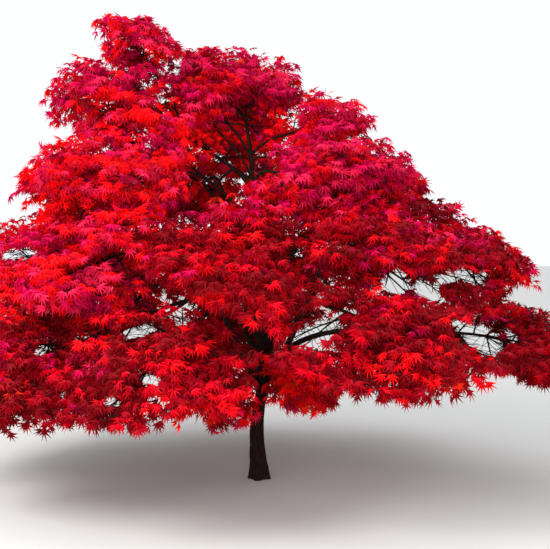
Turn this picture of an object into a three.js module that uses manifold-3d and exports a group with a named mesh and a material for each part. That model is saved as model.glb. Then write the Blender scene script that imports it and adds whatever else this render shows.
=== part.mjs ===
// A low-forked maple in red autumn leaf: a leaning trunk with a root flare, arching boughs, and a broad
// domed crown of separate leaf masses in tiers. Lengths are millimetres, +Z is up, +X is the right of the
// tree as seen from the front, and the origin is the middle of the flat cut under the trunk.
import * as THREE from "three";
import { mergeVertices } from "three/addons/utils/BufferGeometryUtils.js";
import Module from "manifold-3d";

const wasm = await Module();
wasm.setup();

// Driving dimensions of the trunk: the middle line and radius at each height.
const TRUNK_STATIONS = [
  { z: -120, x: 0, y: 0, r: 76 },
  { z: 0, x: 0, y: 0, r: 72 },
  { z: 110, x: -4, y: 0, r: 59 },
  { z: 300, x: -16, y: 0, r: 50 },
  { z: 520, x: -2, y: 0, r: 45 },
  { z: 700, x: 40, y: 0, r: 41 },
  { z: 950, x: 48, y: 5, r: 35 },
  { z: 1400, x: 8, y: 20, r: 27 },
  { z: 1900, x: -38, y: 40, r: 20 },
  { z: 2330, x: -58, y: 50, r: 15 },
  { z: 2540, x: -88, y: 56, r: 12 },
];
const TRUNK_SIDES = 11;
const TRUNK_STEPS = 15;
const FLARE = { lobes: 4, depth: 0.2, height: 170, turn: 0.6 };

// The crown's middle leans to the left above this height: its left side is steep and its right side slopes.
const LEAN = { from: 1300, amount: 0.33, power: 1.6 };

// One bough in each of eight sectors, with a shoulder mass at its tip and a skirt mass on its side limb.
// A limb has radii at its base and tip, and leaves its parent by so much lift for so much spread.
const SECTORS = ["east", "northeast", "north", "northwest", "west", "southwest", "south", "southeast"];
const BOUGH = { lowest: 560, rise: 70, base: 26, tip: 14, lift: 0.5, spread: 0.42 };
const SKIRT_LIMB = { at: 0.5, base: 17, tip: 12, lift: 0.42, spread: 0.5 };
const RIGHT_LIMB = { at: 0.18, base: 22, tip: 13, lift: 0.42, spread: 0.5 };
const UPPER_LIMB = { lowest: 1150, rise: 130, base: 15, tip: 10, lift: 0.5, spread: 0.4 };
const TOP_STEM = { base: 15, tip: 10, lift: 0.95, spread: 0.2 };
const TOP_LIMB = { base: 12, tip: 9, lift: 0.6, spread: 0.4 };
const LOW_LIMB = { base: 14, tip: 9, lift: 0.3, spread: 0.5 };
const BOUGH_FACES = { sides: 6, steps: 5 };
const LIMB_FACES = { sides: 5, steps: 4 };
const LIMB_CURVE = { leaving: 0.38, arriving: 0.3, taper: 0.8 };

// Tiers of masses: distance of the mass's middle from the crown's middle, its half sizes outwards, across and
// upwards, and how much slimmer it is to the right and in front. The tiers reach further to the sides than to
// the front and the back. Each mass of a tier then has its direction in degrees, the height of its middle, and
// how far it tilts down outwards in degrees.
const SHOULDER = { reach: 1300, half: [720, 760, 420], slimmer: 0.3 };
const SHOULDER_SHIFT = { right: 150, left: 230, front: -120, back: -100 };
const SHOULDERS = [
  [-8, 1600, 33],
  [40, 1590, 27],
  [86, 1545, 30],
  [132, 1545, 30],
  [178, 1545, 30],
  [220, 1560, 27],
  [263, 1580, 26],
  [307, 1610, 26],
];
const SKIRT = { reach: 1620, half: [700, 820, 460], slimmer: 0.45 };
const SKIRT_SHIFT = { right: 180, left: 60, front: -220, back: -160 };
const SKIRTS = [
  [-2, 1020, 15],
  [49, 1060, 29],
  [94, 1000, 34],
  [139, 1000, 34],
  [184, 1040, 33],
  [216, 1030, 32],
  [248, 1090, 27],
  [299, 1210, 21],
];
const UPPER = { reach: 840, half: [640, 620, 420], slimmer: 0.08 };
const UPPER_SHIFT = { right: 110, left: 100, front: 0, back: 0 };
const UPPERS = [
  [-38, 2110, 28],
  [12, 2110, 28],
  [62, 2110, 28],
  [112, 2110, 28],
  [162, 2110, 28],
  [212, 2110, 28],
];

// The masses at the top, each on its own stem.
const CREST = { at: [-750, -20, 2950], azimuth: 180, tilt: -50, half: [540, 420, 230] };
const TOP = { at: [-220, 60, 2675], azimuth: 110, tilt: -30, half: [580, 760, 400] };
const TOP_RIGHT = { at: [415, 10, 2405], azimuth: 0, tilt: 12, half: [490, 540, 400] };
const TOP_LEFT = { at: [-800, -90, 2530], azimuth: 184, tilt: -22, half: [700, 560, 440] };
const TOP_BACK = { at: [-260, 560, 2420], azimuth: 92, tilt: 6, half: [540, 560, 400] };

// The small tufts low beside the trunk, with two pairs of twigs each.
const LOW_LEFT = { at: [-215, -190, 600], azimuth: 220, tilt: 20, half: [210, 200, 250], pairs: 2 };
const LOW_RIGHT = { at: [300, -240, 745], azimuth: -30, tilt: 10, half: [290, 260, 240], pairs: 2 };

// Where a limb enters its mass, as shares of the mass's half sizes, and how it then heads upwards.
const ENTRY = { inward: 0.82, under: 0.45, rising: 0.35 };
const STEM = { sides: 4, steps: 3, tip: 8, reach: 0.5, leaving: 0.33, arriving: 0.3 };
const TWIG = { pairs: 3, first: 0.7, base: 9, inner: 80, outer: 36, shortest: 110 };
const TWIG_TILT = { rising: 0.5, falling: -0.4 };
const TWIG_SWING = { turn: 14, tilt: 0.24 };

// The leaf blades stand for sprays of leaves: an outline with three lobes, in shares of the blade's length.
const BLADE = { length: 520, halfWidth: 0.6, notch: 0.19, middle: 0.4, thickness: 0.032, shortest: 0.8 };
const BLADE_PLACES = [
  { share: 0.88, turn: 0 },
  { share: 0.7, turn: -62 },
  { share: 0.42, turn: 62 },
];
const BLADE_ROOM = 0.6;
const FACING = { up: 0.4, leastOut: 0.3, moreOut: 0.5, across: 2.4 };
const HANG = { least: 0.3, more: 0.5 };
const TRIES = { count: 10, swing: 30, wider: 0.5, shorter: 0.05 };
const MOST_BLADES = 20;
const ROOMY = 360;

// Gap between pieces that touch on the tree, and the distance that blades keep from limbs and neighbours.
const CLEAR = 0.3;
const CUT_CLEAR = 0.45;
const KEEP_OFF = 4;
const SOFT_EDGE = 1.2;
const MARCH = 20;

const BARK = new THREE.MeshStandardMaterial({ color: 0x3d342b, roughness: 0.9, metalness: 0 });
const LEAF = new THREE.MeshStandardMaterial({ color: 0xb3122a, roughness: 0.55, metalness: 0 });

const UP = new THREE.Vector3(0, 0, 1);
const radians = THREE.MathUtils.degToRad;
const lerp = THREE.MathUtils.lerp;
const vector = (x, y, z) => new THREE.Vector3(x, y, z);

// Seeded random numbers from 0 to 1: the same seed always grows the same mass.
function seeded(seed) {
  let state = seed >>> 0;
  return () => {
    state = (state + 0x6d2b79f5) >>> 0;
    let t = state;
    t = Math.imul(t ^ (t >>> 15), t | 1);
    t ^= t + Math.imul(t ^ (t >>> 7), t | 61);
    return ((t ^ (t >>> 14)) >>> 0) / 4294967296;
  };
}

// A closed geometry as a solid that can be cut and joined.
function solidOf(geometry) {
  const bare = geometry.clone();
  bare.deleteAttribute("normal");
  bare.deleteAttribute("uv");
  const merged = mergeVertices(bare, 1e-3);
  return new wasm.Manifold(
    new wasm.Mesh({
      numProp: 3,
      vertProperties: new Float32Array(merged.attributes.position.array),
      triVerts: new Uint32Array(merged.index.array),
    }),
  );
}

function geometryOf(solid) {
  const made = solid.getMesh();
  const geometry = new THREE.BufferGeometry();
  geometry.setAttribute("position", new THREE.BufferAttribute(new Float32Array(made.vertProperties), 3));
  geometry.setIndex(new THREE.BufferAttribute(new Uint32Array(made.triVerts), 1));
  geometry.computeVertexNormals();
  return geometry;
}

// A cylinder bent along a route, with its radius given by how far along and how far round it is.
function bentTube(route, radiusAt, sides, steps) {
  const tube = new THREE.CylinderGeometry(1, 1, 1, sides, steps);
  const frames = route.computeFrenetFrames(steps, false);
  const position = tube.attributes.position;
  for (let i = 0; i < position.count; i++) {
    const ring = Math.round((position.getY(i) + 0.5) * steps);
    const share = ring / steps;
    const x = position.getX(i);
    const z = position.getZ(i);
    const turn = Math.atan2(z, x);
    const radius = Math.hypot(x, z) > 1e-6 ? radiusAt(share, turn) : 0;
    const side = frames.normals[ring].clone();
    const across = side.clone().cross(frames.tangents[ring]);
    const point = route.getPointAt(share);
    point.addScaledVector(side, Math.cos(turn) * radius);
    point.addScaledVector(across, Math.sin(turn) * radius);
    position.setXYZ(i, point.x, point.y, point.z);
  }
  return solidOf(tube);
}

// The trunk and its radius.
const trunkRoute = new THREE.CatmullRomCurve3(
  TRUNK_STATIONS.map((s) => vector(s.x, s.y, s.z)),
  false,
  "centripetal",
);

function trunkRadius(height) {
  const found = TRUNK_STATIONS.findIndex((s) => s.z >= height);
  const next = found < 0 ? TRUNK_STATIONS.length - 1 : Math.max(1, found);
  const low = TRUNK_STATIONS[next - 1];
  const high = TRUNK_STATIONS[next];
  return lerp(low.r, high.r, THREE.MathUtils.clamp((height - low.z) / (high.z - low.z), 0, 1));
}

// The share of the trunk's length at which it reaches a height.
function trunkShare(height) {
  let low = 0;
  let high = 1;
  for (let i = 0; i < 24; i++) {
    const middle = (low + high) / 2;
    if (trunkRoute.getPointAt(middle).z < height) low = middle;
    else high = middle;
  }
  return (low + high) / 2;
}

function trunkSolid(grow) {
  const radiusAt = (share, turn) => {
    const height = trunkRoute.getPointAt(share).z;
    const fade = Math.exp(-Math.max(height, 0) / FLARE.height);
    const flute = FLARE.depth * fade * Math.cos(FLARE.lobes * turn + FLARE.turn);
    return trunkRadius(height) * (1 + flute) + grow;
  };
  const whole = bentTube(trunkRoute, radiusAt, TRUNK_SIDES, TRUNK_STEPS);
  const below = new THREE.BoxGeometry(600, 600, 300).translate(0, 0, -150);
  return whole.subtract(solidOf(below));
}

const trunk = {
  name: "trunk",
  route: trunkRoute,
  radiusAt: (share) => trunkRadius(trunkRoute.getPointAt(share).z),
};

// A limb leaves its parent and arches over to a tip, where it heads into its mass.
function limb(name, parent, share, tip, heading, size, faces) {
  const start = parent.route.getPointAt(share);
  const span = start.distanceTo(tip);
  const flat = tip.clone().sub(start).setZ(0).normalize();
  const leaving = flat.multiplyScalar(size.spread).addScaledVector(UP, size.lift).normalize();
  const route = new THREE.CubicBezierCurve3(
    start,
    start.clone().addScaledVector(leaving, span * LIMB_CURVE.leaving),
    tip.clone().addScaledVector(heading, -span * LIMB_CURVE.arriving),
    tip.clone(),
  );
  const radiusAt = (at) => lerp(size.base, size.tip, Math.pow(at, LIMB_CURVE.taper));
  return { name, parent, route, radiusAt, faces };
}

function limbSolid(one, grow) {
  return bentTube(one.route, (at) => one.radiusAt(at) + grow, one.faces.sides, one.faces.steps);
}

function crownMiddle(height) {
  const above = Math.max(0, height - LEAN.from) / 1000;
  return -1000 * LEAN.amount * Math.pow(above, LEAN.power);
}

// A mass's own frame: outwards, across and upwards, with its middle and half sizes.
function massFrame(name, middle, azimuth, tilt, half, seed, pairs = TWIG.pairs) {
  const turn = radians(azimuth);
  const flat = vector(Math.cos(turn), Math.sin(turn), 0);
  const across = UP.clone().cross(flat);
  const out = flat.clone().applyAxisAngle(across, radians(tilt));
  const rise = out.clone().cross(across);
  const size = (half[0] + half[1] + half[2]) / 3;
  return { name, middle, out, across, rise, half, size, seed, pairs };
}

// A mass of a tier. Its reach depends on the side that it is on, and it is slimmer to the right and in front.
function tierMass(name, tier, shift, [azimuth, height, tilt], seed) {
  const turn = radians(azimuth);
  const right = Math.max(0, Math.cos(turn));
  const left = Math.max(0, -Math.cos(turn));
  const front = Math.max(0, -Math.sin(turn));
  const back = Math.max(0, Math.sin(turn));
  const sides = shift.right * right + shift.left * left;
  const reach = tier.reach + sides + shift.front * front + shift.back * back;
  const middle = vector(crownMiddle(height) + reach * Math.cos(turn), reach * Math.sin(turn), height);
  const slimmer = tier.slimmer * Math.max(right, front);
  const [along, across, thick] = tier.half;
  return massFrame(name, middle, azimuth, tilt, [along, across, thick * (1 - slimmer)], seed);
}

function placedMass(name, place, seed) {
  return massFrame(name, vector(...place.at), place.azimuth, place.tilt, place.half, seed, place.pairs);
}

// Where a mass begins, the bough's tip: near its inner end and a little under its middle.
function entryOf(mass) {
  return mass.middle
    .clone()
    .addScaledVector(mass.out, -ENTRY.inward * mass.half[0])
    .addScaledVector(mass.rise, -ENTRY.under * mass.half[2]);
}

function headingOf(mass) {
  return mass.out.clone().addScaledVector(mass.rise, ENTRY.rising).normalize();
}

const limbs = [];
const masses = [];

function carry(mass, parent, share, size, name, faces = LIMB_FACES) {
  const made = limb(name, parent, share, entryOf(mass), headingOf(mass), size, faces);
  mass.on = made;
  limbs.push(made);
  masses.push(mass);
  return made;
}

// Boughs with the shoulder tier, and the side limbs with the skirt tier.
SECTORS.forEach((sector, k) => {
  const height = BOUGH.lowest + BOUGH.rise * ((3 * k + 2) % SECTORS.length);
  const shoulder = tierMass("foliage_shoulder_" + sector, SHOULDER, SHOULDER_SHIFT, SHOULDERS[k], 101 + k);
  const bough = carry(shoulder, trunk, trunkShare(height), BOUGH, "bough_" + sector, BOUGH_FACES);
  const skirt = tierMass("foliage_skirt_" + sector, SKIRT, SKIRT_SHIFT, SKIRTS[k], 201 + k);
  const size = sector === "east" ? RIGHT_LIMB : SKIRT_LIMB;
  carry(skirt, bough, size.at, size, "limb_skirt_" + sector);
});

// The upper tier goes round the back and leaves the front open, where the stems show.
UPPERS.forEach((place, k) => {
  const mass = tierMass("foliage_upper_" + (k + 1), UPPER, UPPER_SHIFT, place, 301 + k);
  const height = UPPER_LIMB.lowest + UPPER_LIMB.rise * ((2 * k + 1) % UPPERS.length);
  carry(mass, trunk, trunkShare(height), UPPER_LIMB, "limb_upper_" + (k + 1));
});

// The second stem leaves the trunk high up and carries the crest at the upper left.
const crest = placedMass("foliage_crest", CREST, 401);
const stemLeft = carry(crest, trunk, trunkShare(2030), TOP_STEM, "stem_left");
carry(placedMass("foliage_top_left", TOP_LEFT, 402), stemLeft, 0.3, TOP_LIMB, "limb_top_left");
carry(placedMass("foliage_top_right", TOP_RIGHT, 403), trunk, trunkShare(2230), TOP_LIMB, "limb_top_right");
carry(placedMass("foliage_top_back", TOP_BACK, 404), trunk, trunkShare(2130), TOP_LIMB, "limb_top_back");
const top = placedMass("foliage_top", TOP, 405);
top.on = trunk;
masses.push(top);
carry(placedMass("foliage_low_left", LOW_LEFT, 501), trunk, trunkShare(430), LOW_LIMB, "limb_low_left");
carry(placedMass("foliage_low_right", LOW_RIGHT, 502), trunk, trunkShare(610), LOW_LIMB, "limb_low_right");

// The space of a mass is a flattened ball cut off where a neighbour's middle is nearer, so no two meet.
function inBall(mass, point, scale = 1) {
  const from = point.clone().sub(mass.middle);
  const share = [from.dot(mass.out), from.dot(mass.across), from.dot(mass.rise)];
  return Math.hypot(...share.map((part, i) => part / mass.half[i])) < scale;
}

function inCell(mass, point) {
  const own = point.distanceToSquared(mass.middle) - mass.size ** 2;
  return masses.every((other) => {
    if (other === mass) return true;
    const apart = other.middle.distanceTo(mass.middle);
    return point.distanceToSquared(other.middle) - other.size ** 2 - own > 2 * KEEP_OFF * apart;
  });
}

// How far a ray goes from a point before it leaves the mass's space.
function roomAlong(mass, point, direction) {
  const inside = (room) => {
    const reached = point.clone().addScaledVector(direction, room);
    return inBall(mass, reached) && inCell(mass, reached);
  };
  let room = 0;
  while (inside(room + MARCH)) room += MARCH;
  return room;
}

// A blade: a flat six-sided bipyramid whose rim is drawn out to a root, two side lobes and a middle lobe.
const BLADE_RIM = [
  [1, 0],
  [0.6, BLADE.notch],
  [0.7, BLADE.halfWidth],
  [0, 0],
  [0.7, -BLADE.halfWidth],
  [0.6, -BLADE.notch],
];

function bladeSolid(root, direction, normal, length) {
  const side = normal.clone().cross(direction).normalize();
  const face = direction.clone().cross(side);
  const blade = new THREE.SphereGeometry(1, BLADE_RIM.length, 2);
  const position = blade.attributes.position;
  for (let i = 0; i < position.count; i++) {
    const y = position.getY(i);
    const onPole = Math.abs(y) > 0.5;
    const turn = Math.atan2(position.getZ(i), -position.getX(i)) / (2 * Math.PI);
    const rim = BLADE_RIM[Math.round((turn + 1) * BLADE_RIM.length) % BLADE_RIM.length];
    const [along, aside] = onPole ? [BLADE.middle, 0] : rim;
    const point = root.clone().addScaledVector(direction, along * length);
    point.addScaledVector(side, aside * length);
    if (onPole) point.addScaledVector(face, Math.sign(y) * 0.5 * BLADE.thickness * length);
    position.setXYZ(i, point.x, point.y, point.z);
  }
  return solidOf(blade);
}

// A straight three-sided twig with a flat top and a pointed end: leaves leave it through a face.
function twigSolid(base, direction, length) {
  const down = UP.clone().addScaledVector(direction, -UP.dot(direction)).normalize().negate();
  const twig = new THREE.CylinderGeometry(0, TWIG.base, length, 3, 1);
  twig.translate(0, length / 2, 0);
  const frame = new THREE.Matrix4().makeBasis(direction.clone().cross(down), direction, down);
  return solidOf(twig.applyMatrix4(frame.setPosition(base)));
}

function corners(solid) {
  const made = solid.getMesh();
  const points = [];
  for (let i = 0; i < made.vertProperties.length; i += made.numProp) {
    points.push(vector(made.vertProperties[i], made.vertProperties[i + 1], made.vertProperties[i + 2]));
  }
  return points;
}

const largestBody = (solid) => solid.decompose().sort((a, b) => b.volume() - a.volume())[0];
const touches = (a, b) => a.intersect(b).volume() > 0;

function keepsToSpace(mass, solid) {
  return corners(solid).every((point) => inBall(mass, point, SOFT_EDGE) && inCell(mass, point));
}

// The stem of a mass starts clear of the bough's tip and arches over to the far end of its space.
function stemOf(mass) {
  const carrier = mass.on.route;
  const heading = carrier.getTangentAt(1);
  const start = carrier.getPointAt(1).addScaledVector(heading, CLEAR);
  const end = mass.middle.clone().addScaledVector(mass.out, STEM.reach * mass.half[0]);
  const span = start.distanceTo(end);
  const route = new THREE.CubicBezierCurve3(
    start,
    start.clone().addScaledVector(heading, span * STEM.leaving),
    end.clone().addScaledVector(mass.out, -span * STEM.arriving),
    end,
  );
  const base = mass.on.radiusAt(1);
  return { route, radiusAt: (at) => lerp(base, STEM.tip, at) };
}

// Twigs leave the stem in opposite pairs, each pair turned further forward than the last.
function twigPlans(mass, random) {
  const plans = [];
  for (let pair = 0; pair < mass.pairs; pair++) {
    for (const hand of [1, -1]) {
      const forward = (pair + TWIG.first) / mass.pairs;
      const turn = radians(lerp(TWIG.inner, TWIG.outer, forward) + TWIG_SWING.turn * (random() - 0.5));
      const rises = (pair + (hand > 0)) % 2 === 1;
      const tilt = (rises ? TWIG_TILT.rising : TWIG_TILT.falling) + TWIG_SWING.tilt * (random() - 0.5);
      const direction = mass.out
        .clone()
        .multiplyScalar(Math.cos(turn))
        .addScaledVector(mass.across, hand * Math.sin(turn))
        .addScaledVector(mass.rise, tilt)
        .normalize();
      plans.push({ base: mass.stem.route.getPointAt(forward), direction, hand });
    }
  }
  return plans;
}

// Thin masses have shorter blades.
const bladeLength = (mass) => BLADE.length * Math.min(1, mass.half[2] / ROOMY);

// A blade hangs a little and faces up and outwards. It is left out where it finds no free room.
function growBlade(mass, twig, place, random, keepOff, others) {
  for (let attempt = 0; attempt < TRIES.count; attempt++) {
    const facing = UP.clone().multiplyScalar(FACING.up);
    facing.addScaledVector(mass.out, FACING.leastOut + FACING.moreOut * random());
    facing.addScaledVector(mass.across, FACING.across * (random() - 0.5)).normalize();
    const swing = TRIES.swing * (random() - 0.5) * (1 + TRIES.wider * attempt);
    const direction = twig.along.clone().applyAxisAngle(facing, radians(place.turn * twig.hand + swing));
    direction.addScaledVector(UP, -HANG.least - HANG.more * random()).normalize();
    const full = bladeLength(mass) * lerp(BLADE.shortest, 1, random());
    const length = full * (1 - TRIES.shorter * attempt);
    const blade = bladeSolid(twig.pointAt(place.share), direction, facing, length);
    const free = keepsToSpace(mass, blade) && !touches(blade, keepOff);
    if (free && !others.some((other) => touches(blade, other))) return blade;
  }
  return null;
}

// The stem with its twigs, and the blades set first at all the tips and then back along the twigs.
function growMass(mass, keepOff) {
  const random = seeded(mass.seed);
  const carriers = [];
  for (const plan of twigPlans(mass, random)) {
    const room = roomAlong(mass, plan.base, plan.direction);
    const length = Math.max(room - BLADE_ROOM * bladeLength(mass), TWIG.shortest);
    const solid = twigSolid(plan.base, plan.direction, length);
    if (!keepsToSpace(mass, solid) || touches(solid, keepOff)) continue;
    const pointAt = (share) => plan.base.clone().addScaledVector(plan.direction, share * length);
    carriers.push({ solid, pointAt, along: plan.direction, hand: plan.hand });
  }
  const stemPoint = (share) => mass.stem.route.getPointAt(share);
  const stemEnd = mass.stem.route.getTangentAt(1);
  carriers.push({ solid: mass.stemSolid, pointAt: stemPoint, along: stemEnd, hand: 1 });
  const blades = [];
  for (const place of BLADE_PLACES) {
    for (const twig of carriers) {
      if (blades.length >= MOST_BLADES) break;
      const others = carriers.filter((other) => other !== twig).map((other) => other.solid);
      const blade = growBlade(mass, twig, place, random, keepOff, [...others, ...blades]);
      if (blade) blades.push(blade);
    }
  }
  return largestBody(wasm.Manifold.union([...carriers.map((twig) => twig.solid), ...blades]));
}

const group = new THREE.Group();

function addNode(name, solid, material) {
  const mesh = new THREE.Mesh(geometryOf(solid), material);
  mesh.name = name;
  group.add(mesh);
}

// Every limb is cut clear of the trunk and of the limbs before it.
addNode("trunk", trunkSolid(0), BARK);
let standing = trunkSolid(CUT_CLEAR);
for (const one of limbs) {
  addNode(one.name, largestBody(limbSolid(one, 0).subtract(standing)), BARK);
  standing = standing.add(limbSolid(one, CUT_CLEAR));
}

// A mass keeps off all the limbs and the stems of the other masses.
const allLimbs = wasm.Manifold.union([trunkSolid(KEEP_OFF), ...limbs.map((one) => limbSolid(one, KEEP_OFF))]);
function stemSolid(stem, grow) {
  return bentTube(stem.route, (at) => stem.radiusAt(at) + grow, STEM.sides, STEM.steps);
}

for (const mass of masses) {
  mass.stem = stemOf(mass);
  mass.stemSolid = stemSolid(mass.stem, 0);
}
for (const mass of masses) {
  const others = masses.filter((other) => other !== mass);
  const stems = others.map((other) => stemSolid(other.stem, KEEP_OFF));
  addNode(mass.name, growMass(mass, wasm.Manifold.union([allLimbs, ...stems])), LEAF);
}

export default group;
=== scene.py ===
# A low-forked maple in red autumn leaf: a trunk and boughs with the relief of their bark, and a broad domed
# crown in which every mass of foliage grows on from its limb in twigs and sprays of palmate leaves.
# Growth is worked out in millimetres with the part's own rule and made into meshes in metres.
import math

import bmesh
import bpy
import numpy as np
from bpy.props import FloatProperty, FloatVectorProperty, PointerProperty
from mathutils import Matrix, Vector, noise


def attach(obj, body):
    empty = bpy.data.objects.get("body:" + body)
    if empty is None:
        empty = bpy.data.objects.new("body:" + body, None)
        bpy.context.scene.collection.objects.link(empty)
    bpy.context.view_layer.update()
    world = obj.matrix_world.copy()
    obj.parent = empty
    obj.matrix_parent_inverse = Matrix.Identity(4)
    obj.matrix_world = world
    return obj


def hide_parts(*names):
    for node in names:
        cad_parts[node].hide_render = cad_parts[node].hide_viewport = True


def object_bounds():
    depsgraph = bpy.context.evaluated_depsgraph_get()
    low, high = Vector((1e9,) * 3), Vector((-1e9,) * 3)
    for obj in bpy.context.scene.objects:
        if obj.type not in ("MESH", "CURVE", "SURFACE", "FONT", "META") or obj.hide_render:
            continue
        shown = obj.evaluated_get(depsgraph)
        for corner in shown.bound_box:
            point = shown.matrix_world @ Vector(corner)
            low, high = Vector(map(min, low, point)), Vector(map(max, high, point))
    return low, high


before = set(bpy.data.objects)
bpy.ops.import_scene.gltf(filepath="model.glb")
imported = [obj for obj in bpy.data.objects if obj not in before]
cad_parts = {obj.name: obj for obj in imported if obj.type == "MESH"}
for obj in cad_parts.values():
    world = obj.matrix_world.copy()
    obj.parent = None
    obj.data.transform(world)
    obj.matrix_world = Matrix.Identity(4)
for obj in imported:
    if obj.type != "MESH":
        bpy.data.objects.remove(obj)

bl_info = {
    "name": "Autumn Maple",
    "version": (1, 0, 0),
    "blender": (4, 5, 0),
    "location": "View3D > Sidebar > Maple",
    "description": "Grows a low-forked maple in red autumn leaf on its packed trunk and boughs",
    "category": "Add Mesh",
}

MM = 0.001
METRE = 1000
UP = np.array([0.0, 0.0, 1.0])
SOLID_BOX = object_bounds()

# A way that no limb starts out in, how upright a twig's tube may be before its sides are laid out from
# another way, and a trifle that keeps a vector from having no length.
ASKEW = [0.0, 1.0, 0.2]
STEEP = 0.95
TINY = 1e-6

# Where the photograph was taken from.
EYE = np.array([115.0, -7300.0, 1724.0])

# How finely curves are drawn: steps along a limb, steps between two of the trunk's stations, and the share of
# a curve over which its heading is taken.
CURVE_STEPS = 120
STATION_STEPS = 40
HEADING_STEP = 0.004

# Heights, middle line and radius of the trunk.
TRUNK_STATIONS = np.array([
    (-120, 0, 0, 76),
    (0, 0, 0, 72),
    (110, -4, 0, 59),
    (300, -16, 0, 50),
    (520, -2, 0, 45),
    (700, 40, 0, 41),
    (950, 48, 5, 35),
    (1400, 8, 20, 27),
    (1900, -38, 40, 20),
    (2330, -58, 50, 15),
    (2540, -88, 56, 12),
], float)
FLARE = {"lobes": 4, "depth": 0.2, "height": 170, "turn": 0.6}
LEAN = {"from": 1300, "amount": 0.33, "power": 1.6}

# Boughs and limbs: radii at base and tip, and how they leave what they grow on. They swell in a collar there.
# Those that are thicker than THICK at their base have more faces.
SECTORS = ["east", "northeast", "north", "northwest", "west", "southwest", "south", "southeast"]
BOUGH = {"lowest": 560, "rise": 70, "base": 26, "tip": 14, "lift": 0.5, "spread": 0.42}
SKIRT_LIMB = {"at": 0.5, "base": 17, "tip": 12, "lift": 0.42, "spread": 0.5}
RIGHT_LIMB = {"at": 0.18, "base": 22, "tip": 13, "lift": 0.42, "spread": 0.5}
UPPER_LIMB = {"lowest": 1150, "rise": 130, "base": 15, "tip": 10, "lift": 0.5, "spread": 0.4}
TOP_STEM = {"base": 15, "tip": 10, "lift": 0.95, "spread": 0.2}
TOP_LIMB = {"base": 12, "tip": 9, "lift": 0.6, "spread": 0.4}
LOW_LIMB = {"base": 14, "tip": 9, "lift": 0.3, "spread": 0.5}
LIMB_CURVE = {"leaving": 0.38, "arriving": 0.3, "taper": 0.8}
THICK = 20
COLLAR = {"thicker": 0.45, "length": 2.2}

# The tiers of masses, with the direction, height and tilt of each mass. Every mass has a seed of its own.
SHOULDER = {"reach": 1300, "half": (720, 760, 420), "slimmer": 0.3, "seed": 101}
SHOULDER_SHIFT = {"right": 150, "left": 230, "front": -120, "back": -100}
SHOULDERS = [
    (-8, 1600, 33), (40, 1590, 27), (86, 1545, 30), (132, 1545, 30),
    (178, 1545, 30), (220, 1560, 27), (263, 1580, 26), (307, 1610, 26),
]
SKIRT = {"reach": 1620, "half": (700, 820, 460), "slimmer": 0.45, "seed": 201}
SKIRT_SHIFT = {"right": 180, "left": 60, "front": -220, "back": -160}
SKIRTS = [
    (-2, 1020, 15), (49, 1060, 29), (94, 1000, 34), (139, 1000, 34),
    (184, 1040, 33), (216, 1030, 32), (248, 1090, 27), (299, 1210, 21),
]
UPPER = {"reach": 840, "half": (640, 620, 420), "slimmer": 0.08, "seed": 301}
UPPER_SHIFT = {"right": 110, "left": 100, "front": 0, "back": 0}
UPPERS = [
    (-38, 2110, 28), (12, 2110, 28), (62, 2110, 28), (112, 2110, 28), (162, 2110, 28), (212, 2110, 28),
]

# The masses at the top and beside the trunk. Their limbs leave the trunk at the height given by from, but
# TOP_LEFT's leaves stem_left at a share of its length. TOP grows on the trunk's own tip.
CREST = {
    "at": (-750, -20, 2950), "azimuth": 180, "tilt": -50, "half": (540, 420, 230),
    "from": 2030, "seed": 401,
}
TOP_LEFT = {
    "at": (-800, -90, 2530), "azimuth": 184, "tilt": -22, "half": (700, 560, 440),
    "from": 0.3, "seed": 402,
}
TOP_RIGHT = {
    "at": (415, 10, 2405), "azimuth": 0, "tilt": 12, "half": (490, 540, 400),
    "from": 2230, "seed": 403,
}
TOP_BACK = {
    "at": (-260, 560, 2420), "azimuth": 92, "tilt": 6, "half": (540, 560, 400),
    "from": 2130, "seed": 404,
}
TOP = {"at": (-220, 60, 2675), "azimuth": 110, "tilt": -30, "half": (580, 760, 400), "seed": 405}
LOW_LEFT = {
    "at": (-215, -190, 600), "azimuth": 220, "tilt": 20, "half": (210, 200, 250),
    "from": 430, "seed": 501, "pairs": 2,
}
LOW_RIGHT = {
    "at": (300, -240, 745), "azimuth": -30, "tilt": 10, "half": (290, 260, 240),
    "from": 610, "seed": 502, "pairs": 2,
}

# Slender stems that fan out from the leading ones where the crown is open: what each grows on, the height
# that it starts at, where it ends, and its radii at base and tip.
FAN = [
    ("trunk", 2290, (-450, 30, 2790), 11, 6), ("trunk", 2330, (430, 10, 2545), 10, 6),
    ("stem_left", 2330, (-640, -40, 2520), 10, 6), ("trunk", 2150, (-330, 40, 2560), 10, 6),
    ("trunk", 2080, (150, 20, 2400), 9, 5),
]
FAN_BEND = {"spread": 0.25, "rise": 0.225, "arriving": 0.3, "leafy": 0.4}

# How a limb enters its mass, the stem and main twigs that grow on from it, and the room that they have.
ENTRY = {"inward": 0.82, "under": 0.45, "rising": 0.35}
STEM = {"tip": 4.8, "reach": 0.5, "leaving": 0.33, "arriving": 0.3}
TWIG = {"pairs": 3, "first": 0.7, "inner": 80, "outer": 36, "rising": 0.5, "falling": -0.4}
TWIG_SWING = {"turn": 14, "tilt": 0.24}
KEEP_OFF = 4
MARCH = {"step": 20, "most": 60}

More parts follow.
